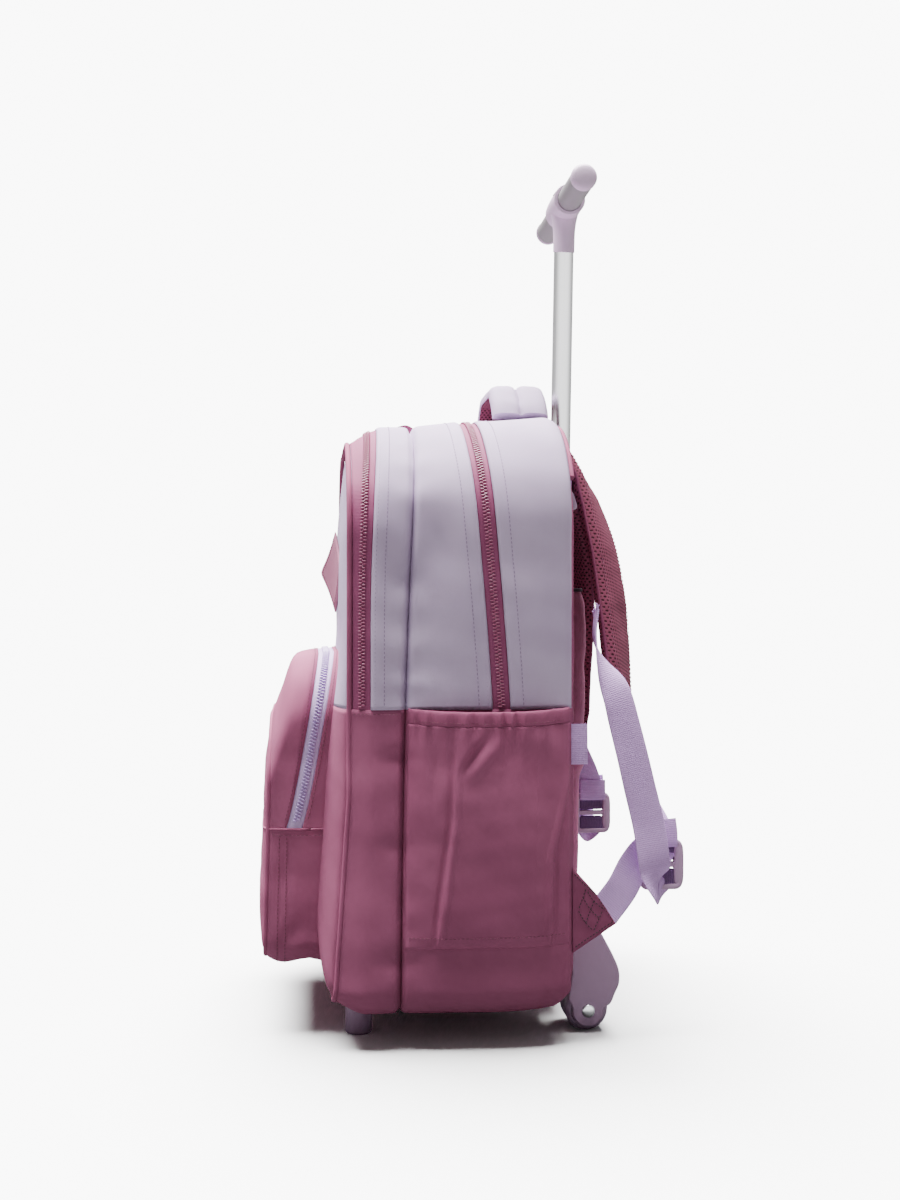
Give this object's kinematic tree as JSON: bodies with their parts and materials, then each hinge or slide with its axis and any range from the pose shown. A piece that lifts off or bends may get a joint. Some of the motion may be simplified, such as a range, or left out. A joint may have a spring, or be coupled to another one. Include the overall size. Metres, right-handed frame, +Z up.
{
  "type": "wheeled backpack",
  "caption": "Soft wheeled backpack with zipped compartments, a front pocket, side pockets, padded shoulder straps, a carry handle, feet, wheels and a telescoping T handle.",
  "frame": {"origin": "the middle of the whole bag's footprint, on the floor it stands on", "axes": "+Z up along the bag, +Y towards the wearer's back, where the mast and wheels are, +X towards the wearer's right"},
  "size_m": [0.3342, 0.3178, 0.6752],
  "materials": {
    "lilac_fabric": "soft matt woven polyester, lilac",
    "mauve_fabric": "soft matt woven polyester, mauve",
    "mauve_trim": "mauve binding, piping and elastic",
    "zip_tape": "ribbed zip tape with moulded teeth",
    "lilac_zip": "lilac zip tape with moulded teeth",
    "strap_mesh": "open spacer mesh over foam",
    "webbing": "ribbed woven webbing",
    "lilac_plastic": "satin moulded plastic",
    "wheel_plastic": "satin moulded plastic",
    "grip_sleeve": "matt grey sleeve",
    "mast_metal": "drawn and brightened",
    "rivet_steel": "bright rivet head",
    "patch_leather": "smooth imitation leather with a stitched edge"
  },
  "bodies": {
    "bag": {"front_panel_upper": "lilac_fabric", "front_panel_lower": "mauve_fabric", "front_gusset_upper": "lilac_fabric", "front_gusset_lower": "mauve_fabric", "main_gusset_front": "lilac_fabric", "main_gusset_back": "lilac_fabric", "main_tub_lower": "mauve_fabric", "front_zip": "zip_tape", "main_zip": "zip_tape", "front_piping": "mauve_trim", "back_panel": "mauve_fabric", "strap_yoke_right": "webbing", "strap_yoke_left": "webbing", "pocket_front": "mauve_fabric", "pocket_zip": "lilac_zip", "pocket_gusset": "mauve_fabric", "pocket_lower": "mauve_fabric", "mast_cover": "mauve_fabric", "outer_tube": "mast_metal", "mast_collar": "lilac_plastic", "mast_heel": "lilac_plastic", "carry_handle": "lilac_fabric", "handle_lining": "strap_mesh", "side_pocket_right": "mauve_fabric", "side_pocket_left": "mauve_fabric", "side_hem_right": "mauve_trim", "side_hem_left": "mauve_trim", "strap_pad_right": "strap_mesh", "strap_pad_left": "strap_mesh", "buckle_right": "lilac_plastic", "buckle_left": "lilac_plastic", "strap_tab_right": "mauve_trim", "strap_tab_left": "mauve_trim", "link_webbing_right": "webbing", "link_webbing_left": "webbing", "lower_webbing_right": "webbing", "lower_webbing_left": "webbing", "tail_webbing_right": "webbing", "tail_webbing_left": "webbing", "axle_right": "rivet_steel", "axle_left": "rivet_steel", "wheel_housing_right": "lilac_plastic", "wheel_housing_left": "lilac_plastic", "foot_right": "lilac_plastic", "foot_left": "lilac_plastic", "front_patch": "patch_leather", "side_label": "webbing", "top_tab": "mauve_trim"},
    "mast": {"mast_tube": "mast_metal", "grip_joint": "lilac_plastic", "grip_bar": "grip_sleeve", "grip_cap_right": "lilac_plastic", "grip_cap_left": "lilac_plastic"},
    "wheel_right": {"wheel_right": "wheel_plastic"},
    "wheel_left": {"wheel_left": "wheel_plastic"}
  },
  "joints": [
    {"name": "mast_slide", "type": "slide", "parent": "bag", "child": "mast", "axis": [0, 0.0175, 0.9998], "range_m": [-0.165, 0.11]},
    {"name": "wheel_right_spin", "type": "hinge", "parent": "bag", "child": "wheel_right", "pos_m": [0.095, 0.0894, 0.0165], "axis": [1, 0, 0], "continuous": true},
    {"name": "wheel_left_spin", "type": "hinge", "parent": "bag", "child": "wheel_left", "pos_m": [-0.095, 0.0894, 0.0165], "axis": [1, 0, 0], "continuous": true}
  ]
}
